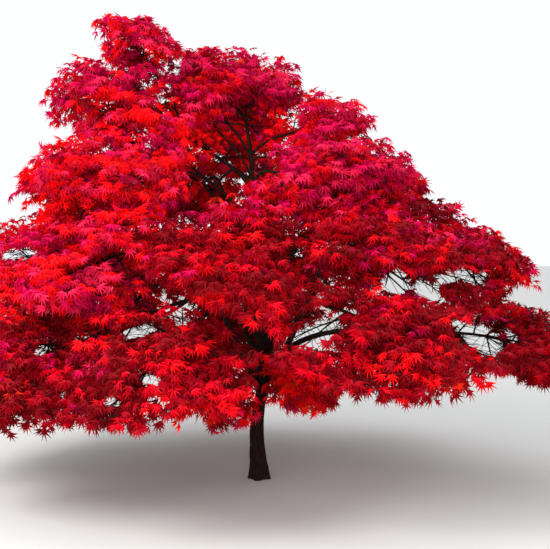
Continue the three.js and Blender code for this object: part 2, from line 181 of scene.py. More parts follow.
# The finer growth: more pairs of main twigs along the stem, each set by its first place and its tilts, and
# twigs that stand between them; then side twigs, and the leaf twigs that carry the leaf pairs. The standing
# twigs lean back over the limb at one end and forward at the other. Each kind of twig has its radii, the
# points along it and its sides.
TWIG_SETS = [(TWIG["first"], TWIG["rising"], TWIG["falling"]), (0.35, 1.15, -0.8), (0.05, 0.15, -0.1)]
STANDING = {"places": (0.06, 0.35, 0.65, 0.92), "back": -0.4, "front": 0.6, "aside": 0.7}
MAIN_TWIG = {"droop": 0.12, "bends": 12, "end": 0.06, "shortest": 50, "vary": 0.12}
SIDE_TWIG = {
    "from": 0.14, "spacing": 62, "stray": 0.6, "turn": 54, "swing": 24, "roll": 0.7, "share": 0.92,
    "shortest": 45, "most": 300, "vary": (0.6, 0.4), "droop": 0.2,
}
LEAF_TWIG = {
    "from": 0.2, "spacing": 74, "stray": 0.5, "turn": 50, "swing": 30, "lifted": 0.7, "length": 75,
    "vary": 0.5,
}
MAIN_TUBE = {"base": 7.2, "tip": 3.0, "points": 7, "sides": 5}
SIDE_TUBE = {"base": 2.8, "tip": 1.1, "points": 4, "sides": 3}
LEAF_TUBE = {"base": 1.3, "tip": 0.5, "points": 2, "sides": 3}

# Leaves grow where the outside of the crown is within reach, going out from its middle line, and only some do
# in the shade, where they are larger. Nothing hangs under the tiers. The ends of twigs and the tips of leaves
# stay within BEYOND of the solids' box.
LIGHT = {
    "from": 1900, "reach": 320, "under": 0.8, "round_pocket": 1.7, "shade_share": 0.25, "shade_leaf": 1.3,
}
UNDERSIDE = {"upper": -0.8, "shoulder": -0.8, "skirt": -0.95, "others": -2}
TWIG_EDGE = 1.02
LEAF_EDGE = 1.08
BEYOND = 70
OFF_WOOD = 12
WOOD_STEPS = 60
BATCH = 4000

# Nothing grows in front of the leading stems, which show in the upper part of the crown, and of the
# right-hand bough, which shows beside the fork.
POCKET = {"at": (-80, -460, 2420), "half": (370, 520, 350)}
BOUGH_GAP = {"at": (330, -900, 1140), "half": (190, 900, 120)}
# Gaps between the layers on the right and left, through which the ground shows from in front: middle and half
# sizes across and upwards, and how far each rises towards its right end. Each follows the line of sight.
GAPS = [
    (1000, 1415, 90, 100, 0), (1215, 1345, 110, 75, -40), (1385, 1450, 130, 60, 25),
    (1545, 1445, 120, 50, -20), (1600, 990, 170, 110, -60), (1470, 1080, 90, 60, -40),
    (1830, 1015, 80, 40, -40), (395, 1035, 230, 80, 70), (-1730, 1615, 150, 50, 15),
    (-860, 1060, 150, 50, 35), (-1290, 1025, 120, 32, 20), (-1540, 935, 110, 40, 40),
    (-1080, 520, 45, 60, 0), (-820, 715, 100, 40, -20),
]

# A palmate leaf, from the end of its stalk: the angle and length of each lobe and of the bays between them,
# for one half. The lengths are shares of the middle lobe. The corner at the back is drawn out to the twig as
# the stalk.
LOBES = [(0, 1.0), (33, 0.95), (70, 0.76)]
BAYS = [(16, 0.32), (51, 0.29)]
LEAF_HEEL = (122, 0.24)
LEAF_STALK = (180, 0.4)
LEAF_CURL = {"tips": -0.32, "bays": 0.0}

# The leaf pairs on a leaf twig: how far along it each is and how far its stalks stand off. Then how stalks
# and blades are posed and vary, each pair of values being the least and what chance adds.
LEAF_PAIRS = ((0.45, 62), (1.0, 34))
STALK = {"swing": 24, "roll": 0.8, "rising": 0.15, "length": (0.6, 0.8)}
BLADE = {
    "onward": 0.7, "outward": 0.4, "hang": (0.1, 1.4), "face_up": 0.55, "face_out": 0.7, "tumble": 0.42,
    "size": (0.76, 0.36), "curl": (0.3, 1.4), "half_width": 0.7,
}

# Plain colours of the leaves, each the same all over a leaf. The brightest is painted glow, standing in for
# light that shines through leaves, and the darkest is mostly painted shade. The wine, magenta, rose, scarlet
# and ember tints are partly the leaves' own tones and partly painted shade, painted sky reflection, painted
# highlight and painted light, where the regions below deal them more.
TINTS = {
    "crimson": "#ca0018",
    "scarlet": "#de0610",
    "magenta": "#be0042",
    "rose": "#de1c48",
    "ember": "#dc2810",
    "wine": "#960012",
    "flame": "#fa0a14",
    "garnet": "#76020c",
}
# How often each tint is dealt, against the others.
TINT_CHANCES = {
    "crimson": 1.0, "scarlet": 0.6, "magenta": 0.6, "rose": 0.25, "ember": 0.01, "wine": 0.5, "flame": 0.0,
    "garnet": 0.05,
}
# Where the chances differ: from how far left to how far right, from how low to how high, and by how much. The
# crown is painted rosier on top with painted sky reflection and highlights, fiery at the upper left with
# painted light and glow, and deeper in the middle, on the right and below with painted shade.
FAR = 9000
TINT_REGIONS = [
    ((-FAR, FAR), (1500, FAR), {"magenta": 0.8, "rose": 0.25, "wine": -0.2}),
    ((-FAR, FAR), (2300, FAR), {"magenta": 1.0, "rose": 0.5, "scarlet": -0.4}),
    ((-FAR, FAR), (0, 1000), {"wine": 0.8, "magenta": -0.3}),
    ((-FAR, FAR), (0, 620), {"garnet": 4.0}),
    ((-FAR, -450), (0, 780), {"garnet": 5.0, "rose": -0.3, "ember": -0.6}),
    ((-1500, -500), (780, 1250), {"garnet": 1.6, "wine": 0.8, "rose": -0.3}),
    ((-FAR, -900), (0, 900), {"wine": 1.5, "ember": 0.6, "garnet": 2.6, "rose": -1.0}),
    ((-FAR, -700), (1100, FAR), {"flame": 0.7, "scarlet": 0.6, "rose": 0.6, "wine": -0.3}),
    ((-1450, -100), (1850, 2650), {"flame": 2.2, "rose": 0.5, "magenta": -0.6, "wine": -0.3}),
    ((-700, 700), (900, 1800), {"wine": 1.8, "garnet": 1.2, "crimson": 0.6, "magenta": -1.2, "rose": -0.5}),
    ((700, FAR), (0, 1900), {"wine": 1.4, "garnet": 1.0, "rose": -0.2, "magenta": -0.3}),
]
# Low down near the trunk the leaves are dealt brighter, more orange tints and none of the darkest: painted
# light.
PAINTED_LIGHT_BY_TRUNK = {
    "within": 600, "below": 1000, "more": {"ember": 0.8, "flame": 1.2, "scarlet": 0.9, "garnet": -9.0},
}
# Behind the leading stems, where the leaves lie in shade, the brightest tint is dealt almost alone: painted
# glow.
PAINTED_GLOW_BEHIND_STEMS = {"front": -120, "below": 2650, "scale": 2.2, "more": {"flame": 14.0}}
OWN_TINTS = 0.4

# Relief of the bark. Ridges and furrows are drawn out along the limb, and swellings are slow. The ridges are
# no deeper than a share of the limb's radius. Then how far apart the furrows and flecks of its colour are.
RIDGES = {"stretch": 0.16, "deepest": 0.09}
FURROWS = {"stretch": 0.35, "finer": 2.3, "depth": 0.5}
SWELLINGS = {"round": 90, "along": 160, "depth": 0.07, "apart": 3.1}
BARK_GRAIN = {"furrows": 9.09, "flecks": 41.7}

# Roughness and shine of the plain finishes, and the refraction that wood and leaves share.
LEAF_FINISH = (0.5, 0.08)
TWIG_FINISH = (0.8, 0.1)
SHOOT_FINISH = (0.6, 0.3)
PLANT_IOR = 1.45

# Sides round each kind of limb, and its rings: how many, or how far apart.
TRUNK_MESH = {"sides": 56, "rings": 240}
BOUGH_MESH = {"sides": 20, "apart": 12}
LIMB_MESH = {"sides": 12, "apart": 16}
STEM_MESH = {"sides": 8, "apart": 40, "fewest": 4}

# The studio, in metres, watts and degrees.
FLOOR = {"half": 60, "drop": 0.001, "roughness": 0.9}
LAMPS = (
    ("key light", (-5.0, -5.6, 6.4), 4.0, 620),
    ("front light", (-0.6, -8.6, 3.4), 5.0, 400),
)
LAMP_AIM = (0, 0, 1.5)
CAMERA_DIP = 1.945


def linear(colour):
    """An sRGB hex colour as linear red, green, blue and alpha."""
    parts = [int(colour[i : i + 2], 16) / 255 for i in (1, 3, 5)]
    return [c / 12.92 if c <= 0.04045 else ((c + 0.055) / 1.055) ** 2.4 for c in parts] + [1.0]


def unit(vectors):
    """Vectors of length one."""
    return vectors / np.linalg.norm(vectors, axis=-1, keepdims=True)


def between(first, last, share):
    """The value a share of the way from the first to the last."""
    return first + (last - first) * share


def seeded(seed):
    """Random numbers from 0 to 1: the same seed always grows the same mass."""
    state = seed

    def number():
        nonlocal state
        state = (state + 0x6D2B79F5) & 0xFFFFFFFF
        t = state
        t = ((t ^ (t >> 15)) * (t | 1)) & 0xFFFFFFFF
        t ^= (t + (t ^ (t >> 7)) * (t | 61)) & 0xFFFFFFFF
        return (t ^ (t >> 14)) / 4294967296

    return number


class Route:
    """A line through space that is walked by shares of its length."""

    def __init__(self, points):
        self.points = points
        steps = np.linalg.norm(np.diff(points, axis=0), axis=1)
        self.length = steps.sum()
        self.shares = np.concatenate([[0.0], np.cumsum(steps)]) / self.length

    def point(self, share):
        """The place at a share of the length."""
        return np.stack([np.interp(share, self.shares, self.points[:, i]) for i in range(3)], axis=-1)

    def heading(self, share):
        """The way that the line goes there."""
        ahead = self.point(np.minimum(np.add(share, HEADING_STEP), 1.0))
        return unit(ahead - self.point(np.maximum(np.subtract(share, HEADING_STEP), 0.0)))


def bezier(a, b, c, d):
    """A cubic curve with its ends at a and d."""
    t = np.linspace(0, 1, CURVE_STEPS)[:, None]
    s = 1 - t
    return Route(s**3 * a + 3 * s * s * t * b + 3 * s * t * t * c + t**3 * d)


def smooth_line(stations):
    """A centripetal curve through all the stations."""
    first = 2 * stations[0] - stations[1]
    last = 2 * stations[-1] - stations[-2]
    whole = np.vstack([first, stations, last])
    pieces = []
    for p0, p1, p2, p3 in zip(whole, whole[1:], whole[2:], whole[3:]):
        gaps = [np.sqrt(np.linalg.norm(b - a)) for a, b in ((p0, p1), (p1, p2), (p2, p3))]
        leave = (p1 - p0) / gaps[0] - (p2 - p0) / (gaps[0] + gaps[1]) + (p2 - p1) / gaps[1]
        arrive = (p2 - p1) / gaps[1] - (p3 - p1) / (gaps[1] + gaps[2]) + (p3 - p2) / gaps[2]
        leave, arrive = leave * gaps[1], arrive * gaps[1]
        t = np.linspace(0, 1, STATION_STEPS, endpoint=False)[:, None]
        bent = -3 * p1 + 3 * p2 - 2 * leave - arrive
        turned = 2 * p1 - 2 * p2 + leave + arrive
        pieces.append(p1 + leave * t + bent * t**2 + turned * t**3)
    return Route(np.vstack([*pieces, stations[-1:]]))


TRUNK_ROUTE = smooth_line(TRUNK_STATIONS[:, [1, 2, 0]])


def trunk_radius(height):
    """The trunk's radius at a height, without its relief."""
    return np.interp(height, TRUNK_STATIONS[:, 0], TRUNK_STATIONS[:, 3])


def trunk_share(height):
    """How far along the trunk a height is, as a share of its length."""
    return np.interp(height, TRUNK_ROUTE.points[:, 2], TRUNK_ROUTE.shares)


class Limb:
    """A limb arches over from its parent to a tip, where it heads into its mass."""

    def __init__(self, name, parent, share, tip, heading, size):
        self.name = name
        start = parent.route.point(share)
        span = np.linalg.norm(tip - start)
        flat = unit((tip - start) * (1, 1, 0))
        leaving = unit(flat * size["spread"] + UP * size["lift"])
        knee = start + leaving * span * LIMB_CURVE["leaving"]
        self.route = bezier(start, knee, tip - heading * span * LIMB_CURVE["arriving"], tip)
        self.size = size
        self.hidden = parent.radius_at(share) / self.route.length

    def radius_at(self, share):
        """The radius at a share of the length."""
        return between(self.size["base"], self.size["tip"], np.power(share, LIMB_CURVE["taper"]))


class Trunk:
    """The trunk as what the boughs grow on."""

    name = "trunk"
    route = TRUNK_ROUTE

    def radius_at(self, share):
        """The radius at a share of the length."""
        return trunk_radius(self.route.point(share)[..., 2])


class Mass:
    """A mass of foliage: its space, its stem and what its twigs carry."""

    def __init__(self, name, middle, azimuth, tilt, half, seed, pairs):
        turn, dip = math.radians(azimuth), math.radians(tilt)
        flat = np.array([math.cos(turn), math.sin(turn), 0.0])
        self.name = name
        self.middle = np.array(middle, float)
        self.out = flat * math.cos(dip) - UP * math.sin(dip)
        self.across = np.cross(UP, flat)
        self.rise = np.cross(self.out, self.across)
        self.axes = np.stack([self.out, self.across, self.rise])
        self.half = np.array(half, float)
        self.size = self.half.mean()
        self.seed = seed
        self.pairs = pairs

    def shares(self, points):
        """Where points lie outwards, across and upwards, as shares of the half sizes."""
        return (points - self.middle) @ self.axes.T / self.half

    def facing(self, points):
        """The way that the outside of the mass faces at points."""
        return unit(self.shares(points) / self.half @ self.axes)

    def entry(self):
        """Where the limb enters the mass, at its inner end and below its middle."""
        inward = self.out * ENTRY["inward"] * self.half[0]
        return self.middle - inward - self.rise * ENTRY["under"] * self.half[2]

    def heading(self):
        """The way that the limb goes there."""
        return unit(self.out + self.rise * ENTRY["rising"])

    def grow_stem(self):
        """Carries on from what the mass grows on to a stem through the mass."""
        heading = self.on.route.heading(1.0)
        start = self.on.route.point(1.0)
        end = self.middle + self.out * STEM["reach"] * self.half[0]
        span = np.linalg.norm(end - start)
        knee = start + heading * span * STEM["leaving"]
        self.stem = bezier(start, knee, end - self.out * span * STEM["arriving"], end)


def crown_middle(height):
    """How far to the right the middle of the crown is at a height: the crown leans to the left."""
    above = max(0.0, height - LEAN["from"]) / METRE
    return -METRE * LEAN["amount"] * above ** LEAN["power"]


def tier_mass(name, tier, shift, places, number):
    """One mass of a tier. Its reach depends on its side, and it is slimmer to the right and in front."""
    azimuth, height, tilt = places[number]
    turn = math.radians(azimuth)
    right, left = max(0.0, math.cos(turn)), max(0.0, -math.cos(turn))
    front, back = max(0.0, -math.sin(turn)), max(0.0, math.sin(turn))
    reach = tier["reach"] + shift["right"] * right + shift["left"] * left
    reach += shift["front"] * front + shift["back"] * back
    middle = (crown_middle(height) + reach * math.cos(turn), reach * math.sin(turn), height)
    slimmer = tier["slimmer"] * max(right, front)
    along, across, thick = tier["half"]
    half = (along, across, thick * (1 - slimmer))
    return Mass(name, middle, azimuth, tilt, half, tier["seed"] + number, TWIG["pairs"])


def placed_mass(name, place):
    """A mass that has a place of its own."""
    pairs = place.get("pairs", TWIG["pairs"])
    return Mass(name, place["at"], place["azimuth"], place["tilt"], place["half"], place["seed"], pairs)


def grow_frame():
    """The limbs and masses of the whole tree, as the part has them."""
    trunk, limbs, masses = Trunk(), [], []

    def carry(mass, parent, share, size, name):
        """Puts a mass on a limb of its own."""
        made = Limb(name, parent, share, mass.entry(), mass.heading(), size)
        mass.on = made
        limbs.append(made)
        masses.append(mass)
        return made

    def carry_on_trunk(name, place, size):
        """Puts a mass on a limb that leaves the trunk."""
        carry(placed_mass("foliage_" + name, place), trunk, trunk_share(place["from"]), size, "limb_" + name)

    for k, sector in enumerate(SECTORS):
        height = BOUGH["lowest"] + BOUGH["rise"] * ((3 * k + 2) % len(SECTORS))
        shoulder = tier_mass("foliage_shoulder_" + sector, SHOULDER, SHOULDER_SHIFT, SHOULDERS, k)
        bough = carry(shoulder, trunk, trunk_share(height), BOUGH, "bough_" + sector)
        skirt = tier_mass("foliage_skirt_" + sector, SKIRT, SKIRT_SHIFT, SKIRTS, k)
        size = RIGHT_LIMB if sector == "east" else SKIRT_LIMB
        carry(skirt, bough, size["at"], size, "limb_skirt_" + sector)
    for k in range(len(UPPERS)):
        height = UPPER_LIMB["lowest"] + UPPER_LIMB["rise"] * ((2 * k + 1) % len(UPPERS))
        upper = tier_mass(f"foliage_upper_{k + 1}", UPPER, UPPER_SHIFT, UPPERS, k)
        carry(upper, trunk, trunk_share(height), UPPER_LIMB, f"limb_upper_{k + 1}")
    crest = placed_mass("foliage_crest", CREST)
    stem_left = carry(crest, trunk, trunk_share(CREST["from"]), TOP_STEM, "stem_left")
    carry(placed_mass("foliage_top_left", TOP_LEFT), stem_left, TOP_LEFT["from"], TOP_LIMB, "limb_top_left")
    carry_on_trunk("top_right", TOP_RIGHT, TOP_LIMB)
    carry_on_trunk("top_back", TOP_BACK, TOP_LIMB)
    top = placed_mass("foliage_top", TOP)
    top.on = trunk
    masses.append(top)
    carry_on_trunk("low_left", LOW_LEFT, LOW_LIMB)
    carry_on_trunk("low_right", LOW_RIGHT, LOW_LIMB)
    for mass in masses:
        mass.grow_stem()
    return trunk, limbs, masses


TRUNK, LIMBS, MASSES = grow_frame()
MIDDLES = np.stack([mass.middle for mass in MASSES])
SIZES = np.array([mass.size for mass in MASSES])
LIMB_SHARES = np.linspace(0, 1, WOOD_STEPS)
WOOD = [TRUNK, *LIMBS]
WOOD_POINTS = np.vstack([wood.route.point(LIMB_SHARES) for wood in WOOD])
WOOD_RADII = np.concatenate([wood.radius_at(LIMB_SHARES) for wood in WOOD])


def fan_stems():
    """The slender stems of the fan, each as its route and its radii at base and tip."""
    routes = {wood.name: wood.route for wood in WOOD}
    found = []
    for name, height, end, base, tip in FAN:
        line = routes[name].points
        start, end = line[np.argmin(abs(line[:, 2] - height))], np.array(end, float)
        reach = end - start
        knee = start + reach * FAN_BEND["spread"] + UP * np.linalg.norm(reach) * FAN_BEND["rise"]
        found.append((bezier(start, knee, end - reach * FAN_BEND["arriving"], end), base, tip))
    return found


def in_space(mass, points, scale=1.0):
    """Whether points lie in the mass's flattened ball and nearer to it than to its neighbours."""
    in_ball = (mass.shares(points) ** 2).sum(-1) < scale**2
    own = ((points - mass.middle) ** 2).sum(-1) - mass.size**2
    apart = np.linalg.norm(MIDDLES - mass.middle, axis=1)
    others = ((points[..., None, :] - MIDDLES) ** 2).sum(-1) - SIZES**2
    itself = apart < 1
    nearer = (others - own[..., None] > 2 * KEEP_OFF * apart) | itself
    return in_ball & nearer.all(-1)


def room_along(mass, point, direction):
    """How far a ray goes from a point before it leaves the mass's space."""
    steps = np.arange(1, MARCH["most"]) * MARCH["step"]
    inside = in_space(mass, point + direction * steps[:, None])
    return MARCH["step"] * (len(steps) if inside.all() else int(np.argmin(inside)))


def in_light(points):
    """Whether the outside of the crown is near on any side, so that leaves have light."""
    outwards = unit(points * (1, 1, 0) - [crown_middle(LIGHT["from"]), 0, 0] + TINY)
    aside = np.cross(UP, outwards)
    lit = np.zeros(len(points), bool)
    for way in (0 * outwards + UP, outwards, outwards + UP, outwards + aside, outwards - aside,
                outwards - LIGHT["under"] * UP):
        seen = points + unit(way) * LIGHT["reach"]
        covered = np.zeros(len(points), bool)
        for mass in MASSES:
            covered |= (mass.shares(seen) ** 2).sum(-1) < 1
        lit |= ~covered
    return lit | in_hollow(points, POCKET, LIGHT["round_pocket"])


def in_hollow(points, hollow, scale=1.0):
    """Whether points lie in one of the crown's hollows, or in a larger copy of it."""
    return (((points - hollow["at"]) / hollow["half"]) ** 2).sum(-1) < scale**2


def in_opening(points):
    """Whether points lie where the crown is open. A gap is tested where the sight line meets the trunk."""
    opened = in_hollow(points, POCKET) | in_hollow(points, BOUGH_GAP)
    ahead = points - EYE
    flat = EYE - ahead * (EYE[1] / ahead[..., 1:2])
    for x, z, across, upwards, slope in GAPS:
        aside = (flat[..., 0] - x) / across
        rise = (flat[..., 2] - z - slope * aside) / upwards
        opened |= aside**2 + rise**2 < 1
    return opened


def clear_of_wood(points, margin):
    """Whether points keep off the trunk and all the limbs, worked out in batches."""
    clear = np.ones(len(points), bool)
    for start in range(0, len(points), BATCH):
        part = points[start : start + BATCH]
        apart = np.linalg.norm(part[:, None, :] - WOOD_POINTS, axis=2)
        clear[start : start + BATCH] = (apart > WOOD_RADII + margin).all(axis=1)
    return clear


def in_box(points, margin=0.0):
    """Whether points lie in the solids' box, widened on all sides, with a margin to spare."""
    low, high = (np.array(corner) / MM + way * BEYOND for corner, way in zip(SOLID_BOX, (-1, 1)))
    return ((points - margin > low) & (points + margin < high)).all(axis=1)


def ranging(values, chance, count):
    """Random numbers from the first value up to the sum of both."""
    least, more = values
    return least + more * chance.random(count)


def drooping(start, direction, length, droop, count):
    """Points along twigs that bend down towards their ends."""
    along = np.linspace(0, 1, count)[:, None]
    start, direction = np.asarray(start)[..., None, :], np.asarray(direction)[..., None, :]
    length = np.asarray(length)[..., None, None]
    return start + direction * along * length - UP * droop * length * along**2


def main_twigs(mass, random):
    """Opposite pairs of twigs along the stem, each pair turned further forward, and one that carries on."""
    ways = []
    for first, rising, falling in TWIG_SETS:
        for pair in range(mass.pairs):
            for hand in (1, -1):
                forward = (pair + first) / mass.pairs
                turn = between(TWIG["inner"], TWIG["outer"], forward)
                turn = math.radians(turn + TWIG_SWING["turn"] * (random() - 0.5))
                rises = (pair + (hand > 0)) % 2 == 1
                tilt = (rising if rises else falling) + TWIG_SWING["tilt"] * (random() - 0.5)
                aside = mass.across * hand * math.sin(turn)
                ways.append((forward, mass.out * math.cos(turn) + aside + mass.rise * tilt))
    for forward in STANDING["places"]:
        aside = mass.across * STANDING["aside"] * (random() - 0.5)
        leaning = between(STANDING["back"], STANDING["front"], forward)
        ways.append((forward, mass.out * leaning + mass.rise + aside))
    ways.append((1.0, mass.stem.heading(1.0)))
    made = []
    for forward, way in ways:
        base, direction = mass.stem.point(forward), unit(way)
        length = room_along(mass, base, direction) * (1 - MAIN_TWIG["vary"] * random())
        length -= MAIN_TWIG["end"] * mass.half[2]
        if length > MAIN_TWIG["shortest"]:
            made.append((base, direction, length))
    return made


def side_twigs(mass, twig, random):
    """The line of one main twig, with opposite pairs of side twigs along it and one at its end."""
    start, direction, length = twig
    line = Route(drooping(start, direction, length, MAIN_TWIG["droop"], MAIN_TWIG["bends"]))
    ways = []
    count = max(1, round(length * (1 - SIDE_TWIG["from"]) / SIDE_TWIG["spacing"]))
    for step in range(count):
        share = SIDE_TWIG["from"] + (1 - SIDE_TWIG["from"]) * (step + SIDE_TWIG["stray"] * random()) / count
        heading = line.heading(share)
        aside = unit(np.cross(UP, heading))
        aside = unit(aside + np.cross(heading, aside) * SIDE_TWIG["roll"] * 2 * (random() - 0.5))
        for hand in (1, -1):
            turn = math.radians(SIDE_TWIG["turn"] + SIDE_TWIG["swing"] * (random() - 0.5))
            ways.append((line.point(share), unit(heading * math.cos(turn) + aside * hand * math.sin(turn))))
    ways.append((line.point(1.0), line.heading(1.0)))
    made = []
    least, more = SIDE_TWIG["vary"]
    for base, way in ways:
        longest = SIDE_TWIG["most"] * (least + more * random())
        reach = min(room_along(mass, base, way) * SIDE_TWIG["share"], longest)
        if reach >= SIDE_TWIG["shortest"]:
            made.append((base, way, reach))
    return line, made


def twigs_of(mass, fan, random):
    """The lines of the mass's main twigs, and the side twigs on them and on the fan's stems in its space."""
    lines, sides = [], []
    for twig in main_twigs(mass, random):
        line, made = side_twigs(mass, twig, random)
        lines.append(line)
        sides += made
    for route, _, _ in fan:
        start, end = route.point(FAN_BEND["leafy"]), route.point(1.0)
        if in_space(mass, end):
            leafy = (start, unit(end - start), np.linalg.norm(end - start))
            sides += side_twigs(mass, leafy, random)[1]
    return lines, [np.array(value) for value in zip(*sides)]


def leaf_twigs(base, way, reach, chance):
    """Opposite pairs of short leaf twigs along all the side twigs, and one at the end of each: where they
    start, their ways and lengths, and the number of the side twig that each is on."""
    found = []
    most = int(SIDE_TWIG["most"] / LEAF_TWIG["spacing"]) + 1
    count = len(base)
    for place in range(-1, most):
        share = np.ones(count)
        if place >= 0:
            steps = place + LEAF_TWIG["stray"] * chance.random(count)
            share = LEAF_TWIG["from"] + steps * LEAF_TWIG["spacing"] / reach
        there = share <= 1
        along = share[:, None]
        start = base + way * along * reach[:, None] - UP * (SIDE_TWIG["droop"] * reach * share**2)[:, None]
        heading = unit(way - UP * 2 * SIDE_TWIG["droop"] * along)
        aside = unit(np.cross(UP, heading) + TINY)
        if place % 2:
            aside = unit(aside + LEAF_TWIG["lifted"] * np.cross(heading, aside))
        for hand in (1, -1) if place >= 0 else (0,):
            turn = LEAF_TWIG["turn"] + LEAF_TWIG["swing"] * (chance.random(count) - 0.5)
            turn = np.radians(turn)[:, None] * (hand != 0)
            direction = unit(heading * np.cos(turn) + aside * hand * np.sin(turn))
            length = LEAF_TWIG["length"] * (1 + LEAF_TWIG["vary"] * (chance.random(count) - 0.5))
            found.append([value[there] for value in (start, direction, length, np.arange(count))])
    return [np.concatenate(value) for value in zip(*found)]


def tubes(lines, size, material):
    """Tapering tubes along many lines, given as twigs by points, with the number of their material."""
    twigs, points = lines.shape[:2]
    sides = size["sides"]
    radii = np.linspace(size["base"], size["tip"], points)[:, None, None]
    heading = unit(np.gradient(lines, axis=1))
    reference = np.where(np.abs(heading[..., 2:]) > STEEP, [1.0, 0, 0], [0, 0, 1.0])
    aside = unit(np.cross(heading, reference))
    above = np.cross(aside, heading)
    turns = 2 * math.pi * np.arange(sides) / sides
    around = aside[:, :, None] * np.cos(turns)[:, None] + above[:, :, None] * np.sin(turns)[:, None]
    corners = lines[:, :, None] + around * radii
    index = np.arange(twigs * points * sides).reshape(twigs, points, sides)
    low, high = index[:, :-1], index[:, 1:]
    faces = np.stack([low, high, np.roll(high, -1, 2), np.roll(low, -1, 2)], axis=-1)
    return corners.reshape(-1, 3), faces.reshape(-1, 4), material


def object_of(name, mesh, materials, slot, *nodes):
    """Puts a finished mesh in the scene on the tree's body, and hides the packed parts named by its nodes."""
    piece = bpy.data.objects.new(name, mesh)
    bpy.context.scene.collection.objects.link(piece)
    for material in materials:
        mesh.materials.append(material)
    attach(piece, "root")
    if nodes:
        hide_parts(*nodes)


def mesh_of(name, parts, smooth):
    """Joins parts, each with corners, faces and a material number, into one mesh in metres."""
    mesh = bpy.data.meshes.new(name)
    corners, faces, numbers = [], [], []
    for places, rows, number in parts:
        faces += (rows + sum(len(c) for c in corners)).tolist()
        corners.append(places)
        numbers.append(np.broadcast_to(number, len(rows)))
    mesh.from_pydata((np.vstack(corners) * MM).tolist(), [], faces)
    mesh.polygons.foreach_set("material_index", np.concatenate(numbers).astype(np.int32))
    mesh.polygons.foreach_set("use_smooth", np.full(len(faces), smooth))
    mesh.update()
    return mesh


def leaf_pattern():
    """One palmate leaf as a fan of faces round the end of its stalk, flat but for the curl of its lobes."""
    half = [(*lobe, "tips") for lobe in LOBES] + [(*bay, "bays") for bay in (*BAYS, LEAF_HEEL)]
    other_half = [(-angle, reach, kind) for angle, reach, kind in half if angle > 0]
    rim = [*sorted(half + other_half), (*LEAF_STALK, "bays")]
    bm = bmesh.new()
    bmesh.ops.create_circle(bm, cap_ends=True, cap_tris=True, segments=len(rim), radius=1)
    for corner in bm.verts:
        if corner.co.length < 0.5:
            corner.co = (0, 0, 0)
            continue
        place = round(math.atan2(corner.co.y, corner.co.x) / (2 * math.pi) * len(rim)) % len(rim)
        angle, reach, kind = rim[place]
        turn = math.radians(angle)
        corner.co = (-reach * math.sin(turn), reach * math.cos(turn), LEAF_CURL[kind] * reach)
    bm.verts.index_update()
    corners = np.array([corner.co for corner in bm.verts])
    faces = np.array([[corner.index for corner in face.verts] for face in bm.faces])
    bm.free()
    return corners, faces, int(np.argmin(corners[:, 1]))


def leaves_on(mass, start, direction, length, lit, settings, chance):
    """The leaf pairs on each leaf twig: where the stalk starts, and the blade's place and pose. Each blade
    hangs on from its stalk and faces up and outwards. Leaves in the shade grow larger."""
    found = []
    count = len(start)
    for share, spread in LEAF_PAIRS:
        node_at = start + direction * (share * length)[:, None]
        aside = unit(np.cross(UP, direction) + TINY)
        above = np.cross(direction, aside)
        swung = (chance.random(count) * 2 - 1)[:, None] * STALK["roll"]
        aside = unit(aside + above * swung)
        for hand in (1, -1):
            turn = np.radians(spread + STALK["swing"] * (chance.random(count) - 0.5))[:, None]
            stalk = unit(direction * np.cos(turn) + aside * hand * np.sin(turn) + UP * STALK["rising"])
            reach = settings.stalk_length / MM * ranging(STALK["length"], chance, count)[:, None]
            found.append((node_at, node_at + stalk * reach, stalk))
    node_at, base, stalk = (np.concatenate(value) for value in zip(*found))
    count = len(base)
    outside = mass.facing(base)
    down = settings.hang * ranging(BLADE["hang"], chance, count)[:, None]
    along = unit(stalk * BLADE["onward"] + outside * BLADE["outward"] - UP * down)
    face = UP * BLADE["face_up"] + outside * BLADE["face_out"] + chance.normal(0, BLADE["tumble"], (count, 3))
    side = unit(np.cross(along, face))
    scale = ranging(BLADE["size"], chance, count) * settings.leaf_length / MM
    scale *= np.where(np.tile(lit, 2 * len(LEAF_PAIRS)), 1.0, LIGHT["shade_leaf"])
    curl = ranging(BLADE["curl"], chance, count)
    return node_at, base, side, along, np.cross(side, along), scale, curl


def leaf_mesh_parts(pattern, posed, tints, keep):
    """Copies of the leaf pattern for the leaves that are kept, each with the number of its tint."""
    corners, faces, stalk_end = pattern
    nodes, bases, side, along, normal, scale, curl = (value[keep] for value in posed)
    shape = corners[None] * scale[:, None, None]
    places = bases[:, None] + shape[..., :1] * side[:, None] + shape[..., 1:2] * along[:, None]
    places = places + shape[..., 2:] * normal[:, None] * curl[:, None, None]
    places[:, stalk_end] = nodes
    rows = faces[None] + (np.arange(len(bases)) * len(corners))[:, None, None]
    return places.reshape(-1, 3), rows.reshape(-1, 3), np.repeat(tints[keep], len(faces))


def tint_of(spray, random):
    """Number of the tint of a spray, dealt by chances for its part of the crown that paint light and shade.
    """
    x, y, z = spray
    favoured = [
        more for (left, right), (low, high), more in TINT_REGIONS if left < x < right and low < z < high
    ]
    if math.hypot(x, y) < PAINTED_LIGHT_BY_TRUNK["within"] and z < PAINTED_LIGHT_BY_TRUNK["below"]:
        favoured.append(PAINTED_LIGHT_BY_TRUNK["more"])
    behind = y > PAINTED_GLOW_BEHIND_STEMS["front"] and z < PAINTED_GLOW_BEHIND_STEMS["below"]
    if behind and in_hollow(spray, POCKET, PAINTED_GLOW_BEHIND_STEMS["scale"]):
        favoured.append(PAINTED_GLOW_BEHIND_STEMS["more"])
    chances = dict(TINT_CHANCES)
    for more in favoured:
        for name, extra in more.items():
            chances[name] = max(0.0, chances[name] + extra)
    pick = random() * sum(chances.values())
    for number, name in enumerate(TINTS):
        pick -= chances[name]
        if pick <= 0:
            return number
    return 0


